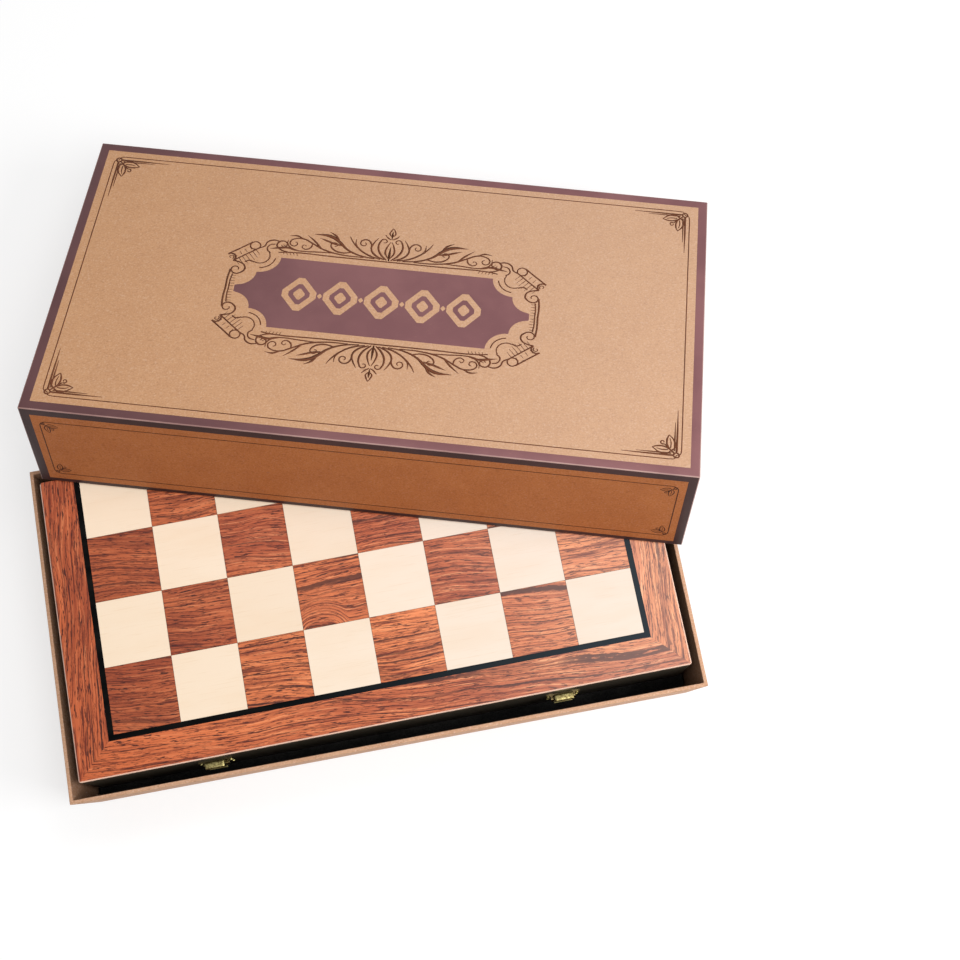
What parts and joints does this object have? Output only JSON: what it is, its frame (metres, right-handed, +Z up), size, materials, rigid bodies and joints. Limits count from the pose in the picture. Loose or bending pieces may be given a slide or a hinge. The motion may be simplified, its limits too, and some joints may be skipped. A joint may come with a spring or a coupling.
{
  "type": "boxed folding chess case",
  "caption": "Folding wooden chess case lying in an open carton tray, with the printed carton lid leaning on it; the case unfolds at its back hinges and shuts with brass latches at the front.",
  "frame": {"origin": "middle of the underside of the carton tray, on the surface that it stands on", "axes": "+X along the fold of the case, to the right seen from the latches; +Y from the latches to the fold; +Z up"},
  "size_m": [0.4678, 0.4307, 0.1477],
  "materials": {
    "carton_board": "printed brown kraft paper on rigid board, matt with fine fibres",
    "foam": "dark grey plastic foam, matt",
    "black_lacquer": "black lacquered wood, satin",
    "fibreboard": "brown fibreboard, matt",
    "border_wood": "red-brown wood veneer, satin",
    "inlay_black": "black inlay strip, satin",
    "light_veneer": "pale maple veneer, satin",
    "dark_veneer": "red-brown rosewood veneer, satin",
    "brass": "bright brass",
    "dark_piece_wood": "dark stained turned wood, satin",
    "light_piece_wood": "pale turned wood, satin"
  },
  "bodies": {
    "carton_tray": {"tray_floor": "carton_board", "tray_front_wall": "carton_board", "tray_back_wall": "carton_board", "tray_left_wall": "carton_board", "tray_right_wall": "carton_board", "tray_pad": "foam"},
    "carton_lid": {"lid_top": "carton_board", "lid_front_wall": "carton_board", "lid_back_wall": "carton_board", "lid_left_wall": "carton_board", "lid_right_wall": "carton_board"},
    "case_lower": {"lower_front_rail": "black_lacquer", "lower_back_rail": "black_lacquer", "lower_left_rail": "black_lacquer", "lower_right_rail": "black_lacquer", "lower_core_panel": "fibreboard", "lower_front_member": "border_wood", "lower_left_member": "border_wood", "lower_right_member": "border_wood", "lower_inlay": "inlay_black", "lower_light_squares": "light_veneer", "lower_dark_squares": "dark_veneer", "lower_foam": "foam", "lower_hinge_leaves": "brass", "lower_hinge_screws": "brass", "latch_keepers": "brass", "keeper_nails": "brass", "light_king": "light_piece_wood", "light_queens": "light_piece_wood", "light_bishops": "light_piece_wood", "light_knights": "light_piece_wood", "light_rooks": "light_piece_wood", "light_pawns": "light_piece_wood"},
    "case_upper": {"upper_front_rail": "black_lacquer", "upper_back_rail": "black_lacquer", "upper_left_rail": "black_lacquer", "upper_right_rail": "black_lacquer", "upper_core_panel": "fibreboard", "upper_front_member": "border_wood", "upper_left_member": "border_wood", "upper_right_member": "border_wood", "upper_inlay": "inlay_black", "upper_light_squares": "light_veneer", "upper_dark_squares": "dark_veneer", "upper_foam": "foam", "upper_hinge_leaves": "brass", "hinge_pins": "brass", "upper_hinge_screws": "brass", "latch_plates": "brass", "latch_pins": "brass", "latch_plate_nails": "brass", "dark_king": "dark_piece_wood", "dark_queens": "dark_piece_wood", "dark_bishops": "dark_piece_wood", "dark_knights": "dark_piece_wood", "dark_rooks": "dark_piece_wood", "dark_pawns": "dark_piece_wood"},
    "left_latch": {"left_latch_lever": "brass"},
    "right_latch": {"right_latch_lever": "brass"}
  },
  "joints": [
    {"name": "lid_lift", "type": "slide", "parent": "carton_tray", "child": "carton_lid", "axis": [0, 0, 1], "range_m": [0, 0.65]},
    {"name": "case_lift", "type": "slide", "parent": "carton_tray", "child": "case_lower", "axis": [0, 0, 1], "range_m": [0, 0.104]},
    {"name": "case_open", "type": "hinge", "parent": "case_lower", "child": "case_upper", "pos_m": [-0.0005, 0.0973, 0.0444], "axis": [-1, 0, 0], "range_deg": [0, 180]},
    {"name": "left_latch_swing", "type": "hinge", "parent": "case_upper", "child": "left_latch", "pos_m": [-0.1105, -0.0956, 0.0484], "axis": [-1, 0, 0], "range_deg": [0, 90]},
    {"name": "right_latch_swing", "type": "hinge", "parent": "case_upper", "child": "right_latch", "pos_m": [0.1095, -0.0956, 0.0484], "axis": [-1, 0, 0], "range_deg": [0, 90]}
  ],
  "couplings": [
    {"joint": "case_lift", "follows": "lid_lift", "ratio": 0.16},
    {"joint": "case_open", "follows": "lid_lift", "rad_per_m": 4.833}
  ]
}
